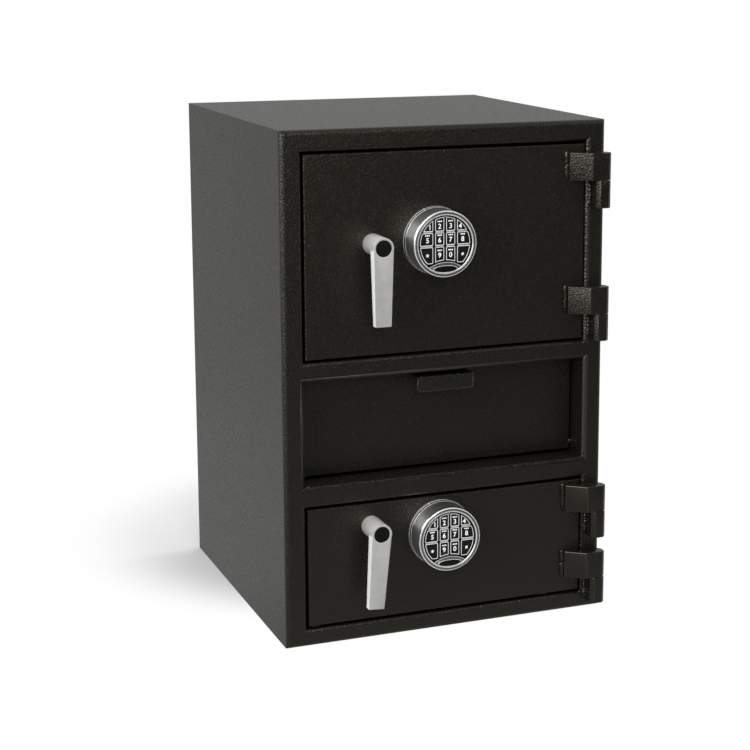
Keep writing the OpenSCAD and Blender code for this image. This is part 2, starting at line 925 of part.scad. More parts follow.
module hopper_rod() {
    color(steel)
        from_front()
            translate([0, rod_at[0], rod_at[1]])
                rotate([0, 90, 0])
                    cylinder(d = rod_d, h = opening_w + 2 * liner_t + 6, center = true, $fn = round_fn);
}

side_panel(-1);  // left_side
side_panel(1);  // right_side
top_panel();
base_panel();
back_panel();
front_frame();
upper_shelf();
hopper_floor();
deposit_baffle();
hinge_knuckles();
hinge_pins();
hopper_bucket();
hopper_pull_tab();
hopper_rod();
for (i = [0, 1]) {
    name = str(DOORS[i], "_");
    door_plate(i);
    hinge_leaves(i);
    boltwork_housing(i);
    lock_body(i);
    keypad_bezel(i);
    keypad_insert(i);
    handle_lever(i);
    handle_cap(i);
    spindle_crank(i);
    bolt_carriage(i);
    locking_bolts(i);
    for (k = [0:len(KEYS) - 1])
        keypad_key(i, k);
}
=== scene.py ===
"""The looks of a hopper deposit safe: its paint, metals, keypads, welds and small trim."""
import math
import random

import bmesh
import bpy
from mathutils import Matrix, Vector


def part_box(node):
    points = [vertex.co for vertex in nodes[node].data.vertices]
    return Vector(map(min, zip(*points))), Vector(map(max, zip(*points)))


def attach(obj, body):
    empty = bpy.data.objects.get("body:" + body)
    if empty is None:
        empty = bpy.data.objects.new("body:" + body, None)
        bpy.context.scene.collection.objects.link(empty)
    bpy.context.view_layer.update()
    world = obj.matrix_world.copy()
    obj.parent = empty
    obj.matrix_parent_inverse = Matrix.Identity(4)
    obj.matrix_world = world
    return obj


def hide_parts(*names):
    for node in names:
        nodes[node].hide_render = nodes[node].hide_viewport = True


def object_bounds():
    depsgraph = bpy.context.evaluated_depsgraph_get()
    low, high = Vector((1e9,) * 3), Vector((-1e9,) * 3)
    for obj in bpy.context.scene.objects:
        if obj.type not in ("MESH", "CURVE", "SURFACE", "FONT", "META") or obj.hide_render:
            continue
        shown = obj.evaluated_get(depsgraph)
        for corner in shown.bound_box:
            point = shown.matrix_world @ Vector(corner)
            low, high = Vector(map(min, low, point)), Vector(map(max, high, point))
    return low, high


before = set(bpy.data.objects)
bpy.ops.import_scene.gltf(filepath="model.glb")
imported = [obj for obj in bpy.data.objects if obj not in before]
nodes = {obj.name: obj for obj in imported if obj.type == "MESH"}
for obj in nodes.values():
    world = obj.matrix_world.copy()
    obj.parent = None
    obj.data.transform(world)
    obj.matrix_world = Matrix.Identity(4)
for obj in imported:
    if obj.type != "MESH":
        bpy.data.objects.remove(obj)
cad_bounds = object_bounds()

MM = 0.001
TINY = 1e-6
DOORS = ("upper", "lower")
KEYS = ("1", "2", "3", "4", "5", "6", "7", "8", "star", "9", "0", "hash")
KEY_COLUMNS = 4
FRONT_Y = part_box("front_frame")[0].y


def set_inputs(node, **values):
    """Sets a shader node's own sockets, named with _ for a space."""
    for name, value in values.items():
        node.inputs[name.replace("_", " ")].default_value = value


def rgb(r, g, b):
    return (r, g, b, 1.0)


def grey(level):
    return rgb(level, level, level)


def mix_shader(tree, share, first, second):
    """Mixes two shaders of a node tree and returns the result."""
    node = tree.nodes.new("ShaderNodeMixShader")
    tree.links.new(share, node.inputs["Fac"])
    tree.links.new(first, node.inputs[1])
    tree.links.new(second, node.inputs[2])
    return node.outputs["Shader"]


class Look:
    """A procedural material: a Principled shader whose colour, roughness and relief come from noise."""

    def __init__(self, name):
        self.material = bpy.data.materials.new(name)
        self.material.use_nodes = True
        self.tree = self.material.node_tree
        self.shader = self.tree.nodes["Principled BSDF"]
        self.coordinates = self.tree.nodes.new("ShaderNodeTexCoord").outputs["Object"]

    def link(self, a, b):
        self.tree.links.new(a, b)

    def noise(self, scale, detail=3.0, rough=0.55, stretch=None):
        node = self.tree.nodes.new("ShaderNodeTexNoise")
        set_inputs(node, Scale=scale, Detail=detail, Roughness=rough)
        source = self.coordinates
        if stretch:
            mapping = self.tree.nodes.new("ShaderNodeMapping")
            mapping.inputs["Scale"].default_value = stretch
            self.link(source, mapping.inputs["Vector"])
            source = mapping.outputs["Vector"]
        self.link(source, node.inputs["Vector"])
        return node.outputs["Fac"]

    def cells(self, scale, smoothness=0.6):
        node = self.tree.nodes.new("ShaderNodeTexVoronoi")
        node.feature = "SMOOTH_F1"
        set_inputs(node, Scale=scale, Smoothness=smoothness)
        self.link(self.coordinates, node.inputs["Vector"])
        return node.outputs["Distance"]

    def ramp(self, source, low, high, start=0.3, end=0.7):
        """Turns a grey pattern into a colour between low and high."""
        node = self.tree.nodes.new("ShaderNodeValToRGB")
        node.color_ramp.elements[0].position = start
        node.color_ramp.elements[1].position = end
        node.color_ramp.elements[0].color = low
        node.color_ramp.elements[1].color = high
        self.link(source, node.inputs["Fac"])
        return node.outputs["Color"]

    def span(self, source, low, high, start=0.25, end=0.75, shape="LINEAR"):
        """Turns a number that runs from start to end into one that runs from low to high."""
        node = self.tree.nodes.new("ShaderNodeMapRange")
        node.interpolation_type = shape
        set_inputs(node, From_Min=start, From_Max=end, To_Min=low, To_Max=high)
        self.link(source, node.inputs["Value"])
        return node.outputs["Result"]

    def colour(self, source):
        self.link(source, self.shader.inputs["Base Color"])

    def roughness(self, source):
        self.link(source, self.shader.inputs["Roughness"])

    def relief(self, source, height, strength=1.0):
        """Adds a bump of the given height in metres, on top of any before it."""
        node = self.tree.nodes.new("ShaderNodeBump")
        set_inputs(node, Strength=strength, Distance=height)
        self.link(source, node.inputs["Height"])
        normal = self.shader.inputs["Normal"]
        if normal.links:
            self.link(normal.links[0].from_socket, node.inputs["Normal"])
        self.link(node.outputs["Normal"], normal)


BLACK = rgb(0.0042, 0.0038, 0.0026)
BLACK_LIGHT = rgb(0.0088, 0.0080, 0.0056)
# A lighter black for the edge paints: its lightness is a painted highlight along rounded edges.
HIGHLIGHT_BLACK = rgb(0.010, 0.0095, 0.008)
PAINT_TINT = rgb(1.0, 0.96, 0.84)
PEEL_GRAIN = 0.7
PATCH_GRAIN = 0.4
FINE_HEIGHT = 0.6


def textured_paint(name, rough, specular, grain, height, dark=BLACK, light=BLACK_LIGHT):
    """Paint with an orange-peel skin of the given height in metres."""
    look = Look(name)
    fine = look.noise(grain, detail=2.0)
    set_inputs(look.shader, Metallic=0.0, Specular_IOR_Level=specular, Specular_Tint=PAINT_TINT)
    look.colour(look.ramp(fine, dark, light))
    look.roughness(look.span(look.noise(grain * PATCH_GRAIN), *rough))
    look.relief(look.cells(grain * PEEL_GRAIN), height)
    look.relief(fine, FINE_HEIGHT * height)
    return look.material


LINES_ALONG = (60.0, 900.0, 900.0)
LINES_UPRIGHT = (900.0, 900.0, 60.0)
LINES_STRENGTH = 0.5
METAL_CLOUD = 60.0
QUARTER_TURN = 0.25
SATIN_SCRATCH = 0.012 * MM


def brushed_metal(name, dark, light, rough, stretch, scratch, metallic=1.0, specular=0.5, turned=0.0):
    """Plated or machined metal with fine lines across it, or turned round the Y axis on a lathe."""
    look = Look(name)
    lines = look.noise(1.0, detail=4.0, stretch=stretch)
    cloud = look.noise(METAL_CLOUD, detail=2.0)
    set_inputs(look.shader, Metallic=metallic, Specular_IOR_Level=specular,
               Anisotropic=turned, Anisotropic_Rotation=QUARTER_TURN)
    if turned:
        tangent = look.tree.nodes.new("ShaderNodeTangent")
        tangent.direction_type = "RADIAL"
        tangent.axis = "Y"
        look.link(tangent.outputs["Tangent"], look.shader.inputs["Tangent"])
    look.colour(look.ramp(cloud, dark, light))
    look.roughness(look.span(lines, *rough))
    look.relief(lines, scratch, LINES_STRENGTH)
    return look.material


PLASTIC_GRAIN = 1500.0
PLASTIC_CLOUD = 90.0
PLASTIC_RELIEF = 0.04 * MM
PLASTIC_STRENGTH = 0.6


def moulded_plastic(name, dark, light, rough, specular=0.4):
    """Plastic or print with a fine even grain."""
    look = Look(name)
    fine = look.noise(PLASTIC_GRAIN, detail=2.0)
    set_inputs(look.shader, Metallic=0.0, Specular_IOR_Level=specular)
    look.colour(look.ramp(fine, dark, light))
    look.roughness(look.span(look.noise(PLASTIC_CLOUD), *rough))
    look.relief(fine, PLASTIC_RELIEF, PLASTIC_STRENGTH)
    return look.material


CABINET_PAINT = textured_paint("cabinet_paint", rough=(0.22, 0.30), specular=0.5, grain=640.0,
                               height=0.50 * MM)
HINGE_PAINT = textured_paint("hinge_paint", rough=(0.13, 0.18), specular=0.35, grain=560.0, height=0.75 * MM)
CALM_PAINT = textured_paint("calm_paint", rough=(0.24, 0.32), specular=0.5, grain=520.0, height=0.10 * MM)
WELD_PAINT = textured_paint("weld_paint", rough=(0.18, 0.24), specular=0.6, grain=520.0, height=0.12 * MM)
# Lighter than the cabinet's black as a painted highlight along rounded edges; the higher gloss is real.
EDGE_HIGHLIGHT_PAINT = textured_paint("edge_highlight_paint", rough=(0.3, 0.4), specular=0.7, grain=520.0, height=0.18 * MM,
                            dark=HIGHLIGHT_BLACK, light=rgb(0.018, 0.017, 0.0145))
GLOSS_EDGE = textured_paint("gloss_edge", rough=(0.16, 0.22), specular=1.0, grain=520.0, height=0.12 * MM)
# Lighter than the cabinet's black as a painted highlight along a rounded edge, with a rough real bump.
ROUGH_EDGE_HIGHLIGHT = textured_paint("rough_edge_highlight", rough=(0.22, 0.32), specular=0.6, grain=430.0, height=0.80 * MM,
                            dark=HIGHLIGHT_BLACK, light=rgb(0.02, 0.019, 0.016))
INNER_PAINT = textured_paint("inner_paint", rough=(0.5, 0.62), specular=0.3, grain=500.0, height=0.16 * MM,
                             dark=rgb(0.035, 0.035, 0.034), light=rgb(0.05, 0.05, 0.048))

BARE_STEEL = brushed_metal("bare_steel", rgb(0.4, 0.39, 0.37), rgb(0.52, 0.51, 0.48), (0.26, 0.42),
                           LINES_ALONG, 0.02 * MM)
SATIN = brushed_metal("satin_metal", rgb(0.48, 0.475, 0.46), rgb(0.55, 0.545, 0.53), (0.26, 0.34),
                      LINES_UPRIGHT, SATIN_SCRATCH, metallic=0.35, specular=1.0)
# Lighter copies of the satin metal: painted light on the lever's sides and a painted highlight along its
# eased edges.
SATIN_LIT_SIDE = brushed_metal("satin_lit_side", rgb(0.74, 0.735, 0.72), rgb(0.82, 0.815, 0.8), (0.3, 0.38),
                           LINES_UPRIGHT, SATIN_SCRATCH, metallic=0.15)
SATIN_EDGE_HIGHLIGHT = brushed_metal("satin_edge_highlight", rgb(0.88, 0.875, 0.86), rgb(0.94, 0.935, 0.92), (0.3, 0.38),
                           LINES_UPRIGHT, SATIN_SCRATCH, metallic=0.15)
CHROME = brushed_metal("keypad_chrome", rgb(0.54, 0.54, 0.53), rgb(0.64, 0.64, 0.63), (0.11, 0.16),
                       (20.0, 3000.0, 20.0), 0.04 * MM)
TURNED = brushed_metal("keypad_turned", rgb(0.5, 0.5, 0.49), rgb(0.62, 0.62, 0.61), (0.29, 0.33),
                       (20.0, 900.0, 20.0), 0.002 * MM, turned=0.9)
# A darker copy of the chrome: a painted dark reflection on the ring's flat band.
KEYPAD_BAND_SHADE = brushed_metal("keypad_band_shade", rgb(0.3, 0.3, 0.295), rgb(0.34, 0.34, 0.33), (0.3, 0.36),
                     (60.0, 60.0, 60.0), 0.002 * MM)
# A lighter copy of the metal: a painted highlight on the ring's crest, lip and foot and on its fine lines.
KEYPAD_HIGHLIGHT = brushed_metal("keypad_lip_highlight", rgb(0.8, 0.795, 0.78), rgb(0.88, 0.875, 0.86), (0.24, 0.3),
                    LINES_UPRIGHT, SATIN_SCRATCH, metallic=0.6)

BLACK_PLASTIC = moulded_plastic("black_plastic", rgb(0.004, 0.004, 0.0035), rgb(0.007, 0.007, 0.006),
                                (0.42, 0.56), specular=0.08)
KEY_PLASTIC = moulded_plastic("key_plastic", grey(0.004), grey(0.008), (0.3, 0.42), specular=0.2)
KEY_PRINT = moulded_plastic("key_print", rgb(0.88, 0.88, 0.86), rgb(0.95, 0.95, 0.93), (0.4, 0.5))
KEY_SILVER = moulded_plastic("key_silver", rgb(0.74, 0.75, 0.76), rgb(0.84, 0.85, 0.86), (0.3, 0.4))
BAR_GREY = moulded_plastic("bar_grey", rgb(0.27, 0.275, 0.28), rgb(0.33, 0.335, 0.34), (0.4, 0.5))
PLATE_BLACK = moulded_plastic("plate_black", grey(0.003), grey(0.006), (0.12, 0.2), specular=0.2)

NODE_LOOKS = {
    "upper_shelf": INNER_PAINT, "hopper_floor": INNER_PAINT, "deposit_baffle": INNER_PAINT,
    "hinge_knuckles": CALM_PAINT, "hinge_pins": BARE_STEEL, "hopper_rod": BARE_STEEL,
}
DOOR_LOOKS = {
    "hinge_leaves": CALM_PAINT, "boltwork_housing": INNER_PAINT, "lock_body": BARE_STEEL,
    "keypad_bezel": CHROME, "keypad_insert": BLACK_PLASTIC, "handle_lever": SATIN,
    "handle_cap": BLACK_PLASTIC, "spindle_crank": BARE_STEEL, "bolt_carriage": BARE_STEEL,
    "locking_bolts": BARE_STEEL,
}


def node_look(name):
    """The material of a CAD node, which is the cabinet's paint where no other is named."""
    door, _, piece = name.partition("_")
    if door in DOORS and piece.startswith("key_"):
        return KEY_PLASTIC
    if door in DOORS and piece in DOOR_LOOKS:
        return DOOR_LOOKS[piece]
    return NODE_LOOKS.get(name, CABINET_PAINT)


def dress(obj, look):
    """Gives an object one material in place of all it had."""
    obj.data.materials.clear()
    obj.data.materials.append(look)


def add_look(obj, look):
    """Gives an object one more material and returns its number."""
    obj.data.materials.append(look)
    return len(obj.data.materials) - 1


def add_piece(name, mesh, look, body, smooth=True):
    """Makes an object from a mesh, dresses it and rides it on a body."""
    obj = bpy.data.objects.new(name, mesh)
    bpy.context.scene.collection.objects.link(obj)
    dress(obj, look)
    for face in mesh.polygons:
        face.use_smooth = smooth
    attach(obj, body)
    return obj


def mesh_from(name, build):
    """A new mesh from a function that fills a bmesh."""
    bm = bmesh.new()
    build(bm)
    bmesh.ops.recalc_face_normals(bm, faces=bm.faces)
    mesh = bpy.data.meshes.new(name)
    bm.to_mesh(mesh)
    bm.free()
    return mesh


def apply_modifiers(obj):
    """Bakes an object's modifiers into its mesh."""
    evaluated = obj.evaluated_get(bpy.context.evaluated_depsgraph_get())
    mesh = bpy.data.meshes.new_from_object(evaluated)
    obj.modifiers.clear()
    obj.data = mesh


def smooth_by_angle(obj, degrees):
    """Smooths the shading of a mesh except across edges sharper than an angle."""
    bm = bmesh.new()
    bm.from_mesh(obj.data)
    bmesh.ops.remove_doubles(bm, verts=bm.verts, dist=TINY)
    for face in bm.faces:
        face.smooth = True
    for edge in bm.edges:
        edge.smooth = len(edge.link_faces) == 2 and edge.calc_face_angle(0.0) < math.radians(degrees)
    bm.to_mesh(obj.data)
    bm.free()


EASE_STEPS = 3
CREASE = 35.0
FLAT = 0.5


def softened(node, body, width, edge_look=None):
    """A copy of a CAD node with its edges eased, and with another look on the eased faces if one is given (on
    the lever a painted highlight), which stands for the node.
    """
    def build(bm):
        bm.from_mesh(nodes[node].data)
        bmesh.ops.remove_doubles(bm, verts=bm.verts, dist=TINY)
        bmesh.ops.dissolve_limit(bm, angle_limit=math.radians(FLAT), verts=bm.verts, edges=bm.edges)
    obj = add_piece(f"{node}_eased", mesh_from(node, build), node_look(node), body)
    bevel = obj.modifiers.new("ease", "BEVEL")
    bevel.width = width
    bevel.segments = EASE_STEPS
    bevel.limit_method = "ANGLE"
    bevel.angle_limit = math.radians(CREASE)
    bevel.harden_normals = True
    if edge_look:
        bevel.material = add_look(obj, edge_look)
    apply_modifiers(obj)
    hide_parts(node)
    return obj


def shifted(corner, offset):
    """The point at an offset in millimetres from a corner."""
    return Vector([place + step * MM for place, step in zip(corner, offset)])


def ellipse(middle, half_x, half_z, steps):
    """Points round an upright ellipse that faces -Y."""
    turns = [2 * math.pi * k / steps for k in range(steps)]
    return [Vector((middle.x + half_x * math.cos(turn), middle.y, middle.z + half_z * math.sin(turn)))
            for turn in turns]


def loft(bm, rings, capped=True):
    """Adds faces from each ring of vertices to the next, and end faces or a join of the last to the first."""
    pairs = list(zip(rings, rings[1:]))
    if not capped:
        pairs.append((rings[-1], rings[0]))
    count = len(rings[0])
    for a, b in pairs:
        for k in range(count):
            after = (k + 1) % count
            bm.faces.new((a[k], a[after], b[after], b[k]))
    if capped:
        bm.faces.new(rings[0])
        bm.faces.new(rings[-1])


def tube(bm, points, radii, sides):
    """Adds a closed tube along points, with one radius for each point."""
    rings = []
    for n, point in enumerate(points):
        ahead = points[min(n + 1, len(points) - 1)] - points[max(n - 1, 0)]
        lean = ahead.to_track_quat("Z", "Y")
        ring = []
        for k in range(sides):
            turn = 2 * math.pi * k / sides
            ring.append(bm.verts.new(point + lean @ Vector((
                radii[n] * math.cos(turn), radii[n] * math.sin(turn), 0))))
        rings.append(ring)
    loft(bm, rings)


def stack(bm, middle, levels, steps):
    """Adds a solid of upright ellipses, each with its half width, half height and distance behind middle."""
    rings = []
    for half_x, half_z, behind in levels:
        outline = ellipse(middle + Vector((0, behind, 0)), half_x, half_z, steps)
        rings.append([bm.verts.new(point) for point in outline])
    loft(bm, rings)


WELD_SIDES = 16
WELD_SWELL = (-0.14, 0.06)
WELD_RIPPLE = 0.1
WELD_STEPS = 6
WELD_STEPS_LEAST = 12
WELD_END_POWER = 10
WELD_END_LEAST = 0.05


def weld_bead(name, start, end, radius, body, seed,
              pitch=4.6 * MM, waver=0.6 * MM, look=WELD_PAINT, lumps=1.0):
    """A run of weld between two points: a tube with a swell and a shift for each stop of the torch."""
    dice = random.Random(seed)
    length = (end - start).length
    stops = int(length / pitch) + 2
    swell = [1 + lumps * dice.uniform(*WELD_SWELL) for _ in range(stops + 1)]
    shift = [Vector([dice.uniform(-waver, waver) for _ in range(3)]) for _ in range(stops + 1)]
    count = max(WELD_STEPS_LEAST, int(WELD_STEPS * length / pitch))
    points, radii = [], []
    for n in range(count + 1):
        share = n / count
        stop, phase = divmod(share * length / pitch, 1.0)
        stop = int(stop)
        blend = (1 - math.cos(math.pi * phase)) / 2
        size = swell[stop] + (swell[stop + 1] - swell[stop]) * blend
        ripple = 1 - WELD_RIPPLE * lumps * (1 - math.cos(2 * math.pi * phase))
        end_round = math.sqrt(max(WELD_END_LEAST, 1 - abs(2 * share - 1) ** WELD_END_POWER))
        radii.append(radius * size * ripple * end_round)
        points.append(start.lerp(end, share) + shift[stop].lerp(shift[stop + 1], blend))
    add_piece(name, mesh_from(name, lambda bm: tube(bm, points, radii, WELD_SIDES)), look, body)


LICK_SIDES = 10
LICK_STEPS = 4
LICK_SWELL = (0.85, 1.1)
LICK_END_POWER = 4
LICK_END_LEAST = 0.08
LICK_R = 1.3 * MM


def weld_lick(name, points, body, seed):
    """A short lick of weld along a few points."""
    dice = random.Random(seed)
    legs = len(points) - 1
    count = LICK_STEPS * legs
    path, radii = [], []
    for n in range(count + 1):
        share = n / count
        leg = min(int(share * legs), legs - 1)
        path.append(points[leg].lerp(points[leg + 1], share * legs - leg))
        end_round = math.sqrt(max(LICK_END_LEAST, 1 - (2 * share - 1) ** LICK_END_POWER))
        radii.append(LICK_R * dice.uniform(*LICK_SWELL) * end_round)
    add_piece(name, mesh_from(name, lambda bm: tube(bm, path, radii, LICK_SIDES)), WELD_PAINT, body)


# The hinges. A weld's ends are offsets in millimetres, to the right, backwards and up.
LEAF_H = 41 * MM
HINGE_GAP = 1 * MM
HINGE_EASE = 1.1 * MM
TOP_HINGE = 0.75
LEAF_WELD = ((-2.6, -0.6, 1.0), (-3.4, -1.2, 3.5))
LEAF_WELD_R = 3.8 * MM
LOW_WELD = ((2.0, -0.4, -0.6), (-6.0, -0.4, -0.6))
LOW_WELD_R = 2.6 * MM
LOW_SEED = 60
KNUCKLE_WELD = ((-1.2, -0.4, 3.0), (-1.2, -0.4, -4.0))
KNUCKLE_WELD_R = 3.0 * MM
KNUCKLE_SEED = 80


def speckle_upper(obj):
    """The rougher paint of the upper door's hinges, which is roughest on the top one."""
    height = cad_bounds[1].z
    rough = add_look(obj, CABINET_PAINT)
    roughest = add_look(obj, HINGE_PAINT)
    for face in obj.data.polygons:
        if face.material_index == 0 and face.center.z > height / 2:
            face.material_index = roughest if face.center.z > TOP_HINGE * height else rough


def hinge_welds(door, place, leaf_z, seed):
    """The welds beside and under one of a door's blocks, and beside the knuckle below it on the frame."""
    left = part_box(f"{door}_hinge_leaves")[0].x
    plate_low, plate_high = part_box(f"{door}_door_plate")
    face = plate_low.y
    start = shifted((left, face, leaf_z), LEAF_WELD[0])
    end = shifted((left, face, leaf_z + LEAF_H), LEAF_WELD[1])
    weld_bead(f"{door}_{place}_leaf_weld", start, end, LEAF_WELD_R, f"{door}_door", seed,
              pitch=8.5 * MM, waver=0.3 * MM, lumps=0.3)
    start = shifted((left, face, leaf_z), LOW_WELD[0])
    end = shifted((plate_high.x, face, leaf_z), LOW_WELD[1])
    weld_bead(f"{door}_{place}_leaf_low_weld", start, end, LOW_WELD_R, f"{door}_door", seed + LOW_SEED)
    knuckle_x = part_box("hinge_knuckles")[0].x
    knuckle_top = leaf_z - HINGE_GAP
    start = shifted((knuckle_x, FRONT_Y, knuckle_top - LEAF_H), KNUCKLE_WELD[0])
    end = shifted((knuckle_x, FRONT_Y, knuckle_top), KNUCKLE_WELD[1])
    weld_bead(f"{door}_{place}_knuckle_weld", start, end, KNUCKLE_WELD_R, "cabinet", seed + KNUCKLE_SEED)


def dress_hinges():
    """The hinges with rubbed edges, and their welds on the doors and the frame."""
    speckle_upper(softened("hinge_knuckles", "cabinet", HINGE_EASE, GLOSS_EDGE))
    for number, door in enumerate(DOORS):
        speckle_upper(softened(f"{door}_hinge_leaves", f"{door}_door", HINGE_EASE, GLOSS_EDGE))
        low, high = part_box(f"{door}_hinge_leaves")
        hinge_welds(door, "top", high.z - LEAF_H, 10 * number)
        hinge_welds(door, "bottom", low.z, 10 * number + 1)


# The outlines of the keys
CORNER_TURN = math.radians(25)
CORNER_STEPS = 4
CORNER_SHORT = 0.6
CORNER_SHARE = 0.45
MITRE_LIMIT = 0.5
RIM_SLOPE = 0.2


def key_loop(node):
    """The outline of a key's face, in order, as points of its front plane, and where that plane is."""
    mesh = nodes[node].data
    front = min(v.co.y for v in mesh.vertices)
    spots = {}
    sides = {}
    for face in mesh.polygons:
        corners = [mesh.vertices[v].co for v in face.vertices]
        if any(co.y - front >= TINY for co in corners):
            continue
        names = [(round(co.x, 6), round(co.z, 6)) for co in corners]
        spots.update(zip(names, ((co.x, co.z) for co in corners)))
        for a, b in zip(names, names[1:] + names[:1]):
            sides.setdefault(frozenset((a, b)), []).append((a, b))
    after = dict(uses[0] for uses in sides.values() if len(uses) == 1)
    loop = [next(iter(after))]
    while after[loop[-1]] != loop[0]:
        loop.append(after[loop[-1]])
    return [Vector(spots[name]) for name in loop], front


def rounded_loop(loop, radius):
    """Rounds the sharp corners of a closed outline."""
    out = []
    for n, at in enumerate(loop):
        back, ahead = loop[n - 1] - at, loop[(n + 1) % len(loop)] - at
        turn = math.pi - back.angle(ahead)
        shorter = min(back.length, ahead.length)
        if turn < CORNER_TURN or shorter < CORNER_SHORT * radius:
            out.append(at)
            continue
        cut = min(radius, CORNER_SHARE * shorter)
        start, end = at + back.normalized() * cut, at + ahead.normalized() * cut
        for k in range(CORNER_STEPS + 1):
            t = k / CORNER_STEPS
            out.append((1 - t) ** 2 * start + 2 * t * (1 - t) * at + t * t * end)
    return out


def inset_loop(loop, distance):
    """Moves a closed outline inwards by a distance."""
    area = sum(a.x * b.y - b.x * a.y for a, b in zip(loop, loop[1:] + loop[:1]))
    sign = 1.0 if area > 0 else -1.0
    out = []
    for n, at in enumerate(loop):
        u = (at - loop[n - 1]).normalized()
        v = (loop[(n + 1) % len(loop)] - at).normalized()
        nu, nv = Vector((-u.y, u.x)) * sign, Vector((-v.y, v.x)) * sign
        across = (nu + nv).normalized()
        out.append(at + across * distance / max(MITRE_LIMIT, across.dot(nu)))
    return out


def ring_mesh(name, loop, front, width, height):
    """A raised rim round an outline, with sloped sides."""
    slope = RIM_SLOPE * width
    levels = ((0.0, 0.0), (slope, height), (width - slope, height), (width, 0.0))

    def build(bm):
        rings = [[bm.verts.new((p.x, front - rise, p.y)) for p in inset_loop(loop, inset)]
                 for inset, rise in levels]
        loft(bm, rings, capped=False)
    return mesh_from(name, build)


def print_mesh(name, text, size, heavier, thickness):
    """A number or sign as a thin solid, centred on its middle and facing -Y."""
    curve = bpy.data.curves.new(name, "FONT")
    curve.body = text
    curve.size = size
    curve.align_x = "CENTER"
    curve.offset = heavier
    curve.extrude = thickness / 2
    carrier = bpy.data.objects.new(name, curve)
    bpy.context.scene.collection.objects.link(carrier)
    mesh = bpy.data.meshes.new_from_object(carrier.evaluated_get(bpy.context.evaluated_depsgraph_get()))
    bpy.data.objects.remove(carrier)
    xs = [v.co.x for v in mesh.vertices]
    ys = [v.co.y for v in mesh.vertices]
    middle = Vector(((min(xs) + max(xs)) / 2, (min(ys) + max(ys)) / 2, 0))
    mesh.transform(Matrix.Rotation(math.pi / 2, 4, "X") @ Matrix.Translation(-middle))
    return mesh


PILL_CORNER = 0.3
PILL_STEPS = 3
PILL_EDGE = 0.7
PILL_TAPER = 0.4


def pill(bm, middle, width, height, rise):
    """Adds a low block with eased corners, standing out towards -Y from middle."""
    cut = PILL_CORNER * height
    outline = []
    for quarter, (x, z) in enumerate(((1, 1), (-1, 1), (-1, -1), (1, -1))):
        for k in range(PILL_STEPS + 1):
            angle = math.radians(90 * quarter + 90 * k / PILL_STEPS)
            outline.append((x * (width / 2 - cut) + cut * math.cos(angle),
                            z * (height / 2 - cut) + cut * math.sin(angle)))
    levels = (
        (0.0, 1.0, 1.0),
        (PILL_EDGE * rise, 1.0, 1.0),
        (rise, 1 - PILL_TAPER * rise / width, 1 - PILL_TAPER * rise / height),
    )
    loft(bm, [[bm.verts.new((middle.x + x * wide, middle.y - out, middle.z + z * tall)) for x, z in outline]
              for out, wide, tall in levels])


# The keys' rims and print
RIM_W = 0.9 * MM
RIM_IN = 0.5 * MM
RIM_H = 0.35 * MM
RIM_CORNER = 2.0 * MM
SIGNS = {"star": "*", "hash": "#"}
SIGN_SIZES = {"star": 11.0 * MM, "hash": 6.0 * MM}
DIGIT_SIZE = 10.0 * MM
DIGIT_H = 0.16 * MM
DIGIT_HEAVIER = 0.17 * MM
DIGIT_IN = 1.4 * MM
DIGIT_UP = (7.3 * MM, 7.8 * MM)
LAST_ROW_DOWN = 12.0 * MM
CORNER_UP = 6.4 * MM
DASH = 2.0 * MM
DASH_PITCH = 2.5 * MM
DASH_UP = 7.0 * MM


def key_rim(node, loop, front):
    """The silver rim on a key, a little narrower than the key."""
    low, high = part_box(node)
    narrow = 1 - 2 * RIM_IN / (high.x - low.x)
    middle = (low.x + high.x) / 2
    loop = [Vector((middle + (p.x - middle) * narrow, p.y)) for p in loop]
    mesh = ring_mesh(node, rounded_loop(loop, RIM_CORNER), front, RIM_W, RIM_H)
    add_piece(f"{node}_rim", mesh, KEY_SILVER, node)


def sign_place(node, row, column, corner, front):
    """Where a key's number stands: nearer the keypad's middle on the outer keys, and lower on corner ones."""
    low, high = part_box(node)
    inwards = (1, 0, 0, -1)[column] * DIGIT_IN
    place = Vector(((low.x + high.x) / 2 + inwards, front, 0))
    place.z = low.z + DIGIT_UP[row] if row < len(DIGIT_UP) else high.z - LAST_ROW_DOWN
    if corner:
        place.x += inwards
        place.z = low.z + CORNER_UP
    return place


def key_sign(node, key, place):
    """The number or sign printed on a key."""
    size = SIGN_SIZES.get(key, DIGIT_SIZE)
    mesh = print_mesh(f"{node}_sign", SIGNS.get(key, key), size, DIGIT_HEAVIER, DIGIT_H)
    mesh.transform(Matrix.Translation(place - Vector((0, DIGIT_H / 2, 0))))
    add_piece(f"{node}_sign", mesh, KEY_PRINT, node, smooth=False)


def key_dashes(node, place):
    """The three small marks over a key's number."""
    def build(bm):
        for k in (-1, 0, 1):
            pill(bm, Vector((place.x + k * DASH_PITCH, place.y, place.z + DASH_UP)), DASH, DASH, DIGIT_H)
    add_piece(f"{node}_dashes", mesh_from(node, build), KEY_PRINT, node)


def dress_keys(door):
    """The silver rim of each key, its number and the small marks over the number."""
    for number, key in enumerate(KEYS):
        row, column = divmod(number, KEY_COLUMNS)
        corner = row == 0 and column in (0, KEY_COLUMNS - 1)
        node = f"{door}_key_{key}"
        loop, front = key_loop(node)
        place = sign_place(node, row, column, corner, front)
        key_rim(node, loop, front)
        key_sign(node, key, place)
        if key not in SIGNS and not corner:
            key_dashes(node, place)


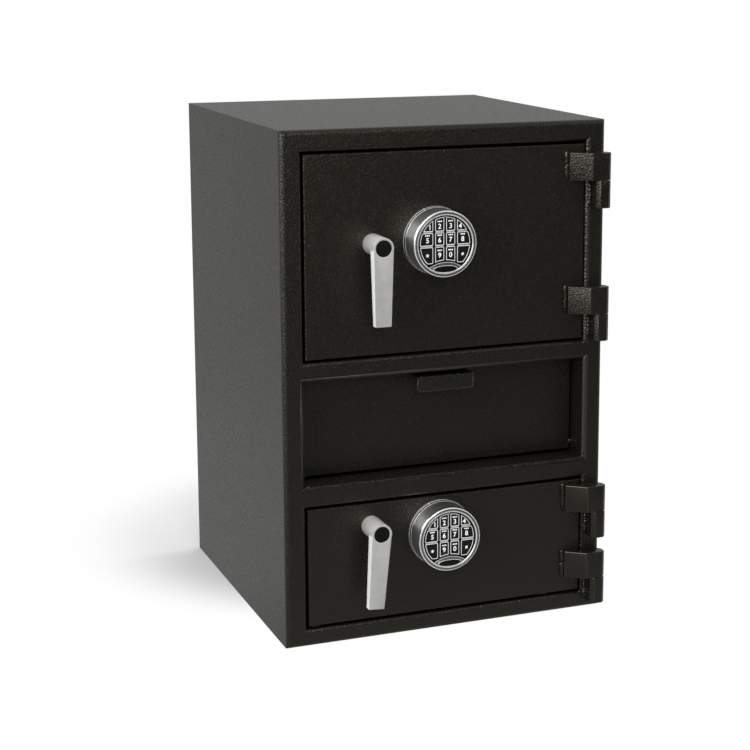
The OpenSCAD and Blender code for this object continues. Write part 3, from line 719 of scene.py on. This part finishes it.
# The keypad's face
BAR_IN = 1.0 * MM
BAR_BACK = 0.2 * MM
BAR_H = 1.9 * MM
BAR_RISE = 1.2 * MM
LAMP_DOWN = 1.6 * MM
LAMP_R = 0.75 * MM
OVAL_Z = -36.4 * MM
OVAL_FLOOR = 1.9 * MM
PLATE_HALF = (17.7 * MM, 4.8 * MM)
PLATE_RINGS = ((1.0, 0.0), (0.97, 0.35 * MM), (0.8, 0.5 * MM), (0.45, 0.6 * MM))
PLATE_STEPS = 48
MARK_TURN = math.radians(112)
MARK_IN = 0.9 * MM
MARK_FROM_BACK = (4.2 * MM, 0.6 * MM)
MARK_R = 0.5 * MM
BEAD_SIDES = 8


def key_bars(door):
    """The grey bars between the rows of keys."""
    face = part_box(f"{door}_keypad_insert")[0].y

    def build(bm):
        for above, below in zip(KEYS, KEYS[KEY_COLUMNS:]):
            upper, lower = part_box(f"{door}_key_{above}"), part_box(f"{door}_key_{below}")
            left = max(upper[0].x, lower[0].x) + BAR_IN
            right = min(upper[1].x, lower[1].x) - BAR_IN
            middle = Vector(((left + right) / 2, face + BAR_BACK, (upper[0].z + lower[1].z) / 2))
            pill(bm, middle, right - left, BAR_H, BAR_RISE)
    add_piece(f"{door}_keypad_bars", mesh_from("bars", build), BAR_GREY, f"{door}_door")


def status_lamp(door):
    """The small lamp over the keys."""
    low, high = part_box(f"{door}_keypad_insert")
    place = Matrix.Translation(((low.x + high.x) / 2, low.y, high.z - LAMP_DOWN))

    def build(bm):
        bmesh.ops.create_uvsphere(bm, u_segments=16, v_segments=8, radius=LAMP_R)
        bmesh.ops.transform(bm, matrix=place, verts=bm.verts)
    add_piece(f"{door}_status_lamp", mesh_from("lamp", build), KEY_SILVER, f"{door}_door")


def oval_plate(door):
    """The bare oval plate under the keys."""
    insert_low, insert_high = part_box(f"{door}_keypad_insert")
    bezel_low, bezel_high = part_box(f"{door}_keypad_bezel")
    middle = Vector(((insert_low.x + insert_high.x) / 2, insert_low.y - OVAL_FLOOR,
                     (bezel_low.z + bezel_high.z) / 2 + OVAL_Z))
    levels = [(share * PLATE_HALF[0], share * PLATE_HALF[1], -rise) for share, rise in PLATE_RINGS]
    mesh = mesh_from("plate", lambda bm: stack(bm, middle, levels, PLATE_STEPS))
    add_piece(f"{door}_oval_plate", mesh, PLATE_BLACK, f"{door}_door")


def drum_mark(door):
    """The index mark on the keypad's drum."""
    low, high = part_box(f"{door}_keypad_bezel")
    middle = (low + high) / 2
    outer = (high.x - low.x) / 2
    points = [Vector((middle.x + r * math.cos(MARK_TURN), high.y - rise, middle.z + r * math.sin(MARK_TURN)))
              for r, rise in zip((outer - MARK_IN, outer), MARK_FROM_BACK)]
    mesh = mesh_from("tick", lambda bm: tube(bm, points, [MARK_R] * 2, BEAD_SIDES))
    add_piece(f"{door}_keypad_mark", mesh, KEY_PRINT, f"{door}_door")


# The keypad's ring, whose faces are told apart by their place and lean: lighter faces on the crest, lip and
# foot are a painted highlight, darker ones on the flat band a painted dark reflection, and black in the
# groove painted shade
BEZEL_LOOKS = (CHROME, TURNED, KEYPAD_HIGHLIGHT, KEYPAD_BAND_SHADE, BLACK_PLASTIC)
CHROME_FACE, TURNED_FACE, HIGHLIGHT_FACE, BAND_SHADE_FACE, GROOVE_SHADE_FACE = range(len(BEZEL_LOOKS))
FOOT_OVER = 0.8 * MM
DRUM_LEAN = 0.2
DRUM_DEPTH = 0.7 * MM
GROOVE_DEPTH = 2 * MM
GROOVE_TOP = 7 * MM
CREST_DEPTH = 1.5 * MM
RING_W = 7.5 * MM
LIP_W = 2 * MM
LIP_SLACK = 0.1 * MM
CREST_LEAN = (-0.93, -0.6)
BEAD_STEPS = 72
BEAD_SUNK = 0.1 * MM
CREST_BEAD_IN = 1.3 * MM
CREST_BEAD_R = 0.45 * MM
DRUM_BEAD_IN = 0.3 * MM
DRUM_BEAD_R = 0.4 * MM
OVAL_PROUD = 2.8 * MM
OVAL_BEAD_HALF = (18.5 * MM, 5.1 * MM)
OVAL_BEAD_R = 0.5 * MM
LENS_R = 45 * MM
LENS_TOP = 26.6 * MM
LENS_PROUD = 2.2 * MM
LENS_TURN = 60
LENS_CLEAR = 0.3 * MM
LENS_BEAD_R = 0.4 * MM


def bezel_look(away, depth, lean, radius):
    """The number in BEZEL_LOOKS of one face of the keypad's ring, picked by its place and lean for painted
    highlight and painted shade.
    """
    inner = radius - RING_W
    if away > radius + 0.5 * FOOT_OVER:
        return HIGHLIGHT_FACE
    if abs(lean) < DRUM_LEAN:
        if away > radius - DRUM_DEPTH:
            return TURNED_FACE
        # Black in the groove is painted shade.
        return GROOVE_SHADE_FACE if away > radius - GROOVE_DEPTH else CHROME_FACE
    if depth > CREST_DEPTH:
        return CHROME_FACE
    if inner - LIP_SLACK < away < inner + LIP_W or CREST_LEAN[0] < lean < CREST_LEAN[1]:
        return HIGHLIGHT_FACE
    return CHROME_FACE if lean > CREST_LEAN[0] else BAND_SHADE_FACE


def turned_bezel(door):
    """The keypad's ring, with lathe lines round its drum, a painted highlight on its crest, a painted dark
    reflection on its band and painted shade in its groove, which stands for the node.
    """
    node = f"{door}_keypad_bezel"
    low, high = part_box(node)
    middle = (low + high) / 2
    radius = (high.x - low.x) / 2 - FOOT_OVER
    obj = add_piece(f"{node}_turned", nodes[node].data.copy(), BEZEL_LOOKS[0], f"{door}_door", smooth=False)
    for look in BEZEL_LOOKS[1:]:
        add_look(obj, look)
    for face in obj.data.polygons:
        away = math.hypot(face.center.x - middle.x, face.center.z - middle.z)
        face.material_index = bezel_look(away, face.center.y - low.y, face.normal.y, radius)
    smooth_by_angle(obj, CREASE)
    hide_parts(node)
    bezel_beads(door, low, high, radius)


def bezel_beads(door, low, high, radius):
    """The keypad's fine bright lines, painted highlights as thin tubes: on the ring's crest and drum, and on
    the oval and the lens.
    """
    middle = (low + high) / 2
    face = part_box(f"{door}_keypad_insert")[0].y

    def oval(y, drop, half_x, half_z):
        points = ellipse(Vector((middle.x, y, middle.z + drop)), half_x, half_z, BEAD_STEPS)
        return points + points[:1]

    lens = []
    for degrees in range(-LENS_TURN, LENS_TURN + 1):
        turn = math.radians(degrees)
        x, z = LENS_R * math.sin(turn), LENS_R * math.cos(turn) - LENS_TOP - LENS_R
        if math.hypot(x, z) < radius - RING_W - LENS_CLEAR:
            lens.append(Vector((middle.x + x, face - LENS_PROUD + BEAD_SUNK, middle.z + z)))
    crest = radius - CREST_BEAD_IN
    beads = {
        "crest_line": (oval(low.y + CREST_BEAD_IN, 0, crest, crest), CREST_BEAD_R),
        "drum_line": (oval(high.y - GROOVE_TOP - DRUM_BEAD_IN, 0, radius, radius), DRUM_BEAD_R),
        "oval_bead": (oval(face - OVAL_PROUD + BEAD_SUNK, OVAL_Z, *OVAL_BEAD_HALF), OVAL_BEAD_R),
        "lens_line": (lens, LENS_BEAD_R),
    }
    for name, (points, thick) in beads.items():
        mesh = mesh_from(name, lambda bm: tube(bm, points, [thick] * len(points), BEAD_SIDES))
        add_piece(f"{door}_{name}", mesh, KEYPAD_HIGHLIGHT, f"{door}_door")


LEVER_EASE = 1.6 * MM
LEVER_SIDE_LEAN = 0.3


def lever_with_painted_light(door):
    """The lever with its eased edges in a lighter copy of its metal as a painted highlight, and its sides in
    another lighter copy as painted light.
    """
    lever = softened(f"{door}_handle_lever", f"{door}_handle", LEVER_EASE, SATIN_EDGE_HIGHLIGHT)
    side = add_look(lever, SATIN_LIT_SIDE)
    cap_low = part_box(f"{door}_handle_cap")[0]
    for face in lever.data.polygons:
        if face.material_index == 0 and abs(face.normal.y) < LEVER_SIDE_LEAN and face.center.z < cap_low.z:
            face.material_index = side


# The screws of the boltwork's cover, whose rings are each a radius and a rise
SCREW_RINGS = ((4.2 * MM, 0.0), (4.2 * MM, 0.7 * MM), (3.7 * MM, 1.5 * MM), (2.6 * MM, 1.9 * MM),
               (1.7 * MM, 1.95 * MM), (1.6 * MM, 0.7 * MM))
SCREW_SIDES = 24
SCREW_IN = 13 * MM
SCREW_SUNK = 0.05 * MM
BACK_REACH = 0.01 * MM


def screw_head(bm, spot):
    """A pan-head screw with a round socket, standing on spot and facing +Y."""
    stack(bm, spot, [(radius, radius, rise) for radius, rise in SCREW_RINGS], SCREW_SIDES)


def cover_screws(door):
    """The screws that hold the cover of the boltwork, round its back."""
    mesh = nodes[f"{door}_boltwork_housing"].data
    back = max(v.co.y for v in mesh.vertices)
    rim = [v.co for v in mesh.vertices if back - v.co.y < BACK_REACH]
    left, right = min(co.x for co in rim), max(co.x for co in rim)
    bottom, top = min(co.z for co in rim), max(co.z for co in rim)

    def build(bm):
        for x in (left + SCREW_IN, (left + right) / 2, right - SCREW_IN):
            for z in (bottom + SCREW_IN, top - SCREW_IN):
                screw_head(bm, Vector((x, back - SCREW_SUNK, z)))
    add_piece(f"{door}_cover_screws", mesh_from("screws", build), BARE_STEEL, f"{door}_door")


# The frame's openings and their edges
SIDE_RAIL = 31 * MM
UPPER_RAIL = 28 * MM
LOWER_RAIL = 32 * MM
DOOR_GAP = 4 * MM
EDGE_R = 5 * MM
FRAME_EDGE_R = 7 * MM
SKIN = 0.12 * MM
RIPPLE_PITCH = 2.5 * MM
ARC_STEPS = 7
NOSE_START = 4
NOSE_END = 84
LINE_R = 0.9 * MM
LINE_SUNK = 0.2 * MM
LINE_DOWN = 8 * MM
LINE_END = 250 * MM
LINE_SEED = 71
SEAM_R = 0.9 * MM
SEAM = ((4.0, 0.3, -8.0), (-2.0, 0.3, -8.0))
SEAM_SEED = 70
LICK_SEED = 30

# Each lick of weld: its opening, the corner it is at, and its points as offsets in millimetres from there
WELD_LICKS = {
    "upper_left": ("upper", "left", "bottom", ((-6, 0.9, -1), (1, 0.9, -7))),
    "upper_right": ("upper", "right", "bottom", ((-2, 0.9, -5), (4, 0.9, 2))),
    "recess_left": ("recess", "left", "bottom", ((2, 1.9, -3), (8, 1.9, 1))),
    "recess_right": ("recess", "right", "bottom", ((-16, 1.9, -3), (-2, 1.9, -1), (3, 0.9, 3), (1, 0.9, 8))),
    "lower_top": ("lower", "right", "top", ((2, 0.9, -12), (3, 0.9, -4))),
    "lower_bottom": ("lower", "right", "bottom", ((-3, 0.9, -2), (3, 0.9, 3))),
}


def openings():
    """The frame's three openings, each with the places of its four sides."""
    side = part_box("front_frame")[1].x - SIDE_RAIL
    upper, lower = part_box("upper_door_plate"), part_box("lower_door_plate")
    heights = {
        "upper": (upper[0].z - DOOR_GAP, upper[1].z + DOOR_GAP),
        "recess": (lower[1].z + DOOR_GAP + LOWER_RAIL, upper[0].z - DOOR_GAP - UPPER_RAIL),
        "lower": (lower[0].z - DOOR_GAP, lower[1].z + DOOR_GAP),
    }
    return {name: {"left": -side, "right": side, "bottom": bottom, "top": top}
            for name, (bottom, top) in heights.items()}


def edge_skin(name, hole, side, look, seed, lap=0.3 * MM, ripple=0.0):
    """A thin skin over the rounded edge of one side of an opening, rippled where the paint lies rough; in a
    lighter edge paint the skin is a painted highlight along the edge.
    """
    dice = random.Random(seed)
    flat = side in ("top", "bottom")
    start, end = ("left", "right") if flat else ("bottom", "top")
    count = int((hole[end] - hole[start]) / RIPPLE_PITCH) if ripple else 2
    angles = [math.radians(NOSE_START + (NOSE_END - NOSE_START) * k / ARC_STEPS)
              for k in range(ARC_STEPS + 1)]

    def spot(share, away, y):
        """A point of the skin, at a distance outside the opening, with the corners mitred."""
        low, high = hole[start] - away, hole[end] + away
        along = low + (high - low) * share
        across = hole[side] + (away if side in ("top", "right") else -away)
        return (along, y, across) if flat else (across, y, along)

    def nose(share, angle, lift):
        """A point over the rounded edge, lifted off it."""
        away = EDGE_R - (EDGE_R + lift) * math.sin(angle)
        return spot(share, away, FRONT_Y + EDGE_R - (EDGE_R + lift) * math.cos(angle))

    def cut(share):
        """One cut through the skin: along its outside and back along its inside."""
        outside = [spot(share, EDGE_R + lap, FRONT_Y - SKIN)]
        for k, angle in enumerate(angles):
            rise = dice.uniform(0, ripple) if 0 < k < ARC_STEPS else 0.0
            outside.append(nose(share, angle, SKIN + rise))
        inside = [nose(share, angle, -SKIN) for angle in reversed(angles)]
        return outside + inside + [spot(share, EDGE_R + lap, FRONT_Y + SKIN)]

    def build(bm):
        loft(bm, [[bm.verts.new(point) for point in cut(n / count)] for n in range(count + 1)])
    add_piece(name, mesh_from(name, build), look, "cabinet")


def frame_line():
    """A glossy line at the top of the frame's left edge, laid there to catch a highlight along the rounded
    edge.
    """
    low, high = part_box("front_frame")
    into = FRAME_EDGE_R * (1 - math.sqrt(0.5)) + LINE_SUNK
    start = Vector((low.x + into, FRONT_Y + into, high.z - LINE_END))
    end = Vector((low.x + into, FRONT_Y + into, high.z - LINE_DOWN))
    weld_bead("frame_left_line", start, end, LINE_R, "cabinet", LINE_SEED,
              pitch=5.0 * MM, waver=0.2 * MM, look=GLOSS_EDGE)


def rail_seam(upper):
    """The seam of the rail under the upper door."""
    start = shifted((upper["left"], FRONT_Y, upper["bottom"]), SEAM[0])
    end = shifted((upper["right"], FRONT_Y, upper["bottom"]), SEAM[1])
    weld_bead("upper_rail_seam", start, end, SEAM_R, "cabinet", SEAM_SEED,
              pitch=6.0 * MM, waver=0.5 * MM, look=HINGE_PAINT)


def dress_openings():
    """Skins over the rounded edges round the frame's openings, the lighter ones a painted highlight and the
    rippled ones rough or welded paint, and licks of weld in their corners.
    """
    holes = openings()
    upper, recess, lower = holes["upper"], holes["recess"], holes["lower"]
    # The skins in the lighter edge paints are painted highlights: on the recess's top, left and right edges
    # and on the upper door's hinge side.
    edge_skin("recess_top_edge", recess, "top", EDGE_HIGHLIGHT_PAINT, seed=1)
    edge_skin("recess_left_edge", recess, "left", EDGE_HIGHLIGHT_PAINT, seed=2)
    edge_skin("recess_right_edge", recess, "right", EDGE_HIGHLIGHT_PAINT, seed=3, lap=2.0 * MM, ripple=0.4 * MM)
    edge_skin("recess_bottom_edge", recess, "bottom", HINGE_PAINT, seed=4, lap=1.5 * MM, ripple=0.4 * MM)
    edge_skin("upper_hinge_edge", upper, "right", ROUGH_EDGE_HIGHLIGHT, seed=5, lap=1.2 * MM, ripple=0.5 * MM)
    edge_skin("lower_hinge_edge", lower, "right", HINGE_PAINT, seed=6, lap=1.2 * MM, ripple=0.5 * MM)
    frame_line()
    rail_seam(upper)
    for number, (name, (hole, side, level, offsets)) in enumerate(WELD_LICKS.items()):
        corner = (holes[hole][side], FRONT_Y, holes[hole][level])
        points = [shifted(corner, offset) for offset in offsets]
        weld_lick(f"{name}_weld", points, "cabinet", LICK_SEED + number)


TAB_CORNER = 4.8 * MM
TAB_EDGE_IN = 0.35 * MM
TAB_EDGE_R = 0.75 * MM
TAB_EDGE_SIDES = 10
TAB_ARC_STEPS = 6


def tab_edge():
    """A painted highlight round the front of the hopper's pull tab: a tube in the lighter edge paint, open
    along its top.
    """
    low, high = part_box("hopper_pull_tab")
    y = low.y + TAB_EDGE_IN
    right, bottom, top = high.x - TAB_EDGE_IN, low.z + TAB_EDGE_IN, high.z - TAB_EDGE_IN
    radius = TAB_CORNER - TAB_EDGE_IN
    points = [Vector((-right, y, top))]
    for centre_x, start in ((radius - right, 180), (right - radius, 270)):
        for k in range(TAB_ARC_STEPS + 1):
            angle = math.radians(start + 90 * k / TAB_ARC_STEPS)
            points.append(Vector((centre_x + radius * math.cos(angle), y,
                                  bottom + radius + radius * math.sin(angle))))
    points.append(Vector((right, y, top)))
    mesh = mesh_from("tab_edge", lambda bm: tube(bm, points, [TAB_EDGE_R] * len(points), TAB_EDGE_SIDES))
    add_piece("tab_edge", mesh, EDGE_HIGHLIGHT_PAINT, "hopper")


# Each studio light: its place, the point it faces, its size, its glow and whether gloss mirrors it
SOFT_BOXES = {
    "left_softbox": ((-2.3, -1.55, 1.52), (0, -0.2, 0.6), (1.4, 2.0), 6.0, True),
    "side_softbox": ((-2.5, -0.35, 1.5), (0, -0.2, 0.5), (0.8, 2.0), 4.5, True),
    "front_softbox": ((-0.6, -3.1, 1.8), (0, -0.2, 0.4), (1.0, 0.9), 9.5, True),
    "top_softbox": ((0.75, -0.25, 2.7), (0, 0, 0.2), (2.4, 2.4), 5.0, False),
}
ROOM_GLOW = 0.42
DARK_GLOW = 0.10
DARK_WAY = Vector((0.36, -0.91, -0.19)).normalized()
DARK_EDGE = 0.7
DARK_CORE = 0.97
FLOOR_R = 1.3
FLOOR_STEPS = 96
FLOOR_GREY = (0.68, 0.70)
FLOOR_CLOUD = 3.0
FLOOR_ROUGH = (0.8, 0.9)
FLOOR_ROUGH_CLOUD = 2.0
FLOOR_SPECULAR = 0.1
FLOOR_FADE_AT = (0.0, 0.28, 0.0)
FLOOR_FADE = (0.30, 0.49)
FLOOR_MIRROR = (0.28, 0.48)
FLOOR_MIRROR_Y = (-0.5, 0.1)


def soft_box(name, place, aim, size, glow, mirrored):
    """A rectangular studio light, turned to face a point, which gloss mirrors or not."""
    data = bpy.data.lights.new(name, "AREA")
    data.shape = "RECTANGLE"
    data.size, data.size_y = size
    data.energy = glow * math.pi * size[0] * size[1]
    lamp = bpy.data.objects.new(name, data)
    bpy.context.scene.collection.objects.link(lamp)
    lamp.location = place
    lamp.visible_glossy = mirrored
    lamp.rotation_euler = (Vector(place) - Vector(aim)).to_track_quat("Z", "Y").to_euler()


def studio_world():
    """A grey room, dark in front of the safe where the studio is unlit. The camera sees it as white."""
    world = bpy.data.worlds.new("studio")
    bpy.context.scene.world = world
    world.use_nodes = True
    tree = world.node_tree
    room = tree.nodes["Background"]
    towards = tree.nodes.new("ShaderNodeVectorMath")
    towards.operation = "DOT_PRODUCT"
    towards.inputs[1].default_value = DARK_WAY
    tree.links.new(tree.nodes.new("ShaderNodeTexCoord").outputs["Generated"], towards.inputs[0])
    ramp = tree.nodes.new("ShaderNodeValToRGB")
    ramp.color_ramp.interpolation = "EASE"
    ramp.color_ramp.elements[0].position = DARK_EDGE
    ramp.color_ramp.elements[1].position = DARK_CORE
    ramp.color_ramp.elements[0].color = grey(ROOM_GLOW)
    ramp.color_ramp.elements[1].color = grey(DARK_GLOW)
    tree.links.new(towards.outputs["Value"], ramp.inputs["Fac"])
    tree.links.new(ramp.outputs["Color"], room.inputs["Color"])
    backdrop = tree.nodes.new("ShaderNodeBackground")
    set_inputs(backdrop, Color=grey(1.0), Strength=1.0)
    seen = tree.nodes.new("ShaderNodeLightPath").outputs["Is Camera Ray"]
    surface = mix_shader(tree, seen, room.outputs["Background"], backdrop.outputs["Background"])
    tree.links.new(surface, tree.nodes["World Output"].inputs["Surface"])


def floor_look():
    """Pale paper that glows plain white away from the safe's back half, so that shadow shows only there, and
    that gloss sees as a dim glow, brighter towards the back.
    """
    look = Look("floor_paper")
    new = look.tree.nodes.new
    set_inputs(look.shader, Specular_IOR_Level=FLOOR_SPECULAR)
    look.colour(look.ramp(look.noise(FLOOR_CLOUD), grey(FLOOR_GREY[0]), grey(FLOOR_GREY[1])))
    look.roughness(look.span(look.noise(FLOOR_ROUGH_CLOUD), *FLOOR_ROUGH))
    away = new("ShaderNodeVectorMath")
    away.operation = "DISTANCE"
    away.inputs[1].default_value = FLOOR_FADE_AT
    look.link(look.coordinates, away.inputs[0])
    fade = look.span(away.outputs["Value"], 0.0, 1.0, *FLOOR_FADE, shape="SMOOTHSTEP")
    white = new("ShaderNodeEmission")
    set_inputs(white, Color=grey(1.0), Strength=1.0)
    paper = mix_shader(look.tree, fade, look.shader.outputs["BSDF"], white.outputs["Emission"])
    place = new("ShaderNodeSeparateXYZ")
    look.link(look.coordinates, place.inputs["Vector"])
    dim = new("ShaderNodeEmission")
    set_inputs(dim, Color=grey(1.0))
    look.link(look.span(place.outputs["Y"], *FLOOR_MIRROR, *FLOOR_MIRROR_Y), dim.inputs["Strength"])
    glossy = new("ShaderNodeLightPath").outputs["Is Glossy Ray"]
    surface = mix_shader(look.tree, glossy, paper, dim.outputs["Emission"])
    look.link(surface, look.tree.nodes["Material Output"].inputs["Surface"])
    return look.material


def stage_set():
    """A pale floor, the room round it, and soft lights from the left, beside the camera and above."""
    def round_floor(bm):
        bmesh.ops.create_circle(bm, cap_ends=True, segments=FLOOR_STEPS, radius=FLOOR_R)
    plane = bpy.data.objects.new("floor", mesh_from("floor", round_floor))
    bpy.context.scene.collection.objects.link(plane)
    plane.data.materials.append(floor_look())
    studio_world()
    for name, setting in SOFT_BOXES.items():
        soft_box(name, *setting)


PICTURE = 750
SENSOR = 36.0
LENS_PX = 1835.1
CENTRE_PX = (460.0, 300.0)
CAMERA_PLACE = (-0.9944, -2.4526, 1.0100)
CAMERA_TURN = 22.45
CAMERA_DIP = 10.80
CAMERA_LEAN = 0.15


def make_camera():
    """The camera of the photograph: its place and turn fit the cabinet's corners there."""
    data = bpy.data.cameras.new("camera")
    data.sensor_width = SENSOR
    data.lens = LENS_PX / PICTURE * SENSOR
    data.shift_x = (PICTURE / 2 - CENTRE_PX[0]) / PICTURE
    data.shift_y = (CENTRE_PX[1] - PICTURE / 2) / PICTURE
    camera = bpy.data.objects.new("camera", data)
    bpy.context.scene.collection.objects.link(camera)
    camera.location = Vector(CAMERA_PLACE) + Vector((0, FRONT_Y, 0))
    turn = Matrix.Rotation(math.radians(-CAMERA_TURN), 3, "Z")
    dip = Matrix.Rotation(math.radians(90 - CAMERA_DIP), 3, "X")
    lean = Matrix.Rotation(math.radians(CAMERA_LEAN), 3, "Z")
    camera.rotation_euler = (turn @ dip @ lean).to_euler()
    bpy.context.scene.camera = camera


SMALL_EASE = 0.6 * MM

stage_set()
make_camera()
bpy.context.scene.view_settings.view_transform = "Standard"

for node_name, node_object in nodes.items():
    dress(node_object, node_look(node_name))
dress_hinges()
dress_openings()
tab_edge()
for door_name in DOORS:
    dress_keys(door_name)
    key_bars(door_name)
    status_lamp(door_name)
    oval_plate(door_name)
    drum_mark(door_name)
    turned_bezel(door_name)
    lever_with_painted_light(door_name)
    cover_screws(door_name)
    softened(f"{door_name}_handle_cap", f"{door_name}_handle", SMALL_EASE)
softened("hopper_pull_tab", "hopper", SMALL_EASE)
